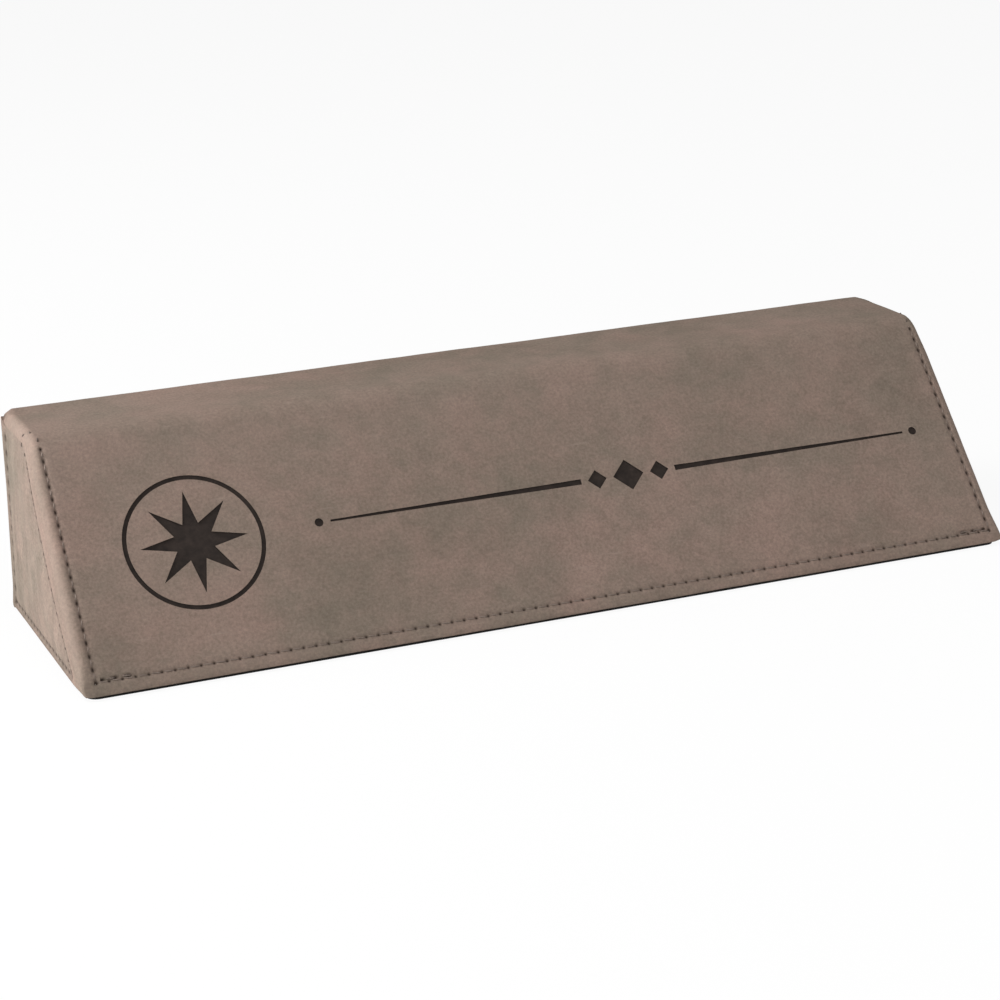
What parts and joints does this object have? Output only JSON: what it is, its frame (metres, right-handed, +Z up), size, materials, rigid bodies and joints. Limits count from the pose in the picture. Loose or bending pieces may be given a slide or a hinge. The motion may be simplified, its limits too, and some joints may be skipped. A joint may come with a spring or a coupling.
{
  "type": "desk name plate",
  "caption": "Long desk name plate: hollow greyboard wedge wrapped in stitched grey-brown leatherette, with an engraved sloped front and a felt-lined base.",
  "frame": {"origin": "centre of the underside of the base", "axes": "+X along the length, to the right of someone reading the slope; the slope faces -Y; +Z up"},
  "size_m": [0.2672, 0.079, 0.057],
  "materials": {
    "greyboard": "raw matt board",
    "leatherette": "matt nubuck-look leatherette, cloudy grey-brown, dark brown where engraved",
    "base_felt": "thin black felt",
    "thread": "twisted brown sewing thread"
  },
  "bodies": {
    "root": {"front_board": "greyboard", "top_board": "greyboard", "back_board": "greyboard", "base_board": "greyboard", "left_end_board": "greyboard", "right_end_board": "greyboard", "main_cover": "leatherette", "left_end_cover": "leatherette", "right_end_cover": "leatherette", "base_pad": "base_felt", "front_left_stitching": "thread", "front_bottom_stitching": "thread", "front_right_stitching": "thread", "left_end_front_stitching": "thread", "left_end_base_stitching": "thread", "left_end_rear_stitching": "thread", "right_end_front_stitching": "thread", "right_end_base_stitching": "thread", "right_end_rear_stitching": "thread"}
  },
  "joints": []
}
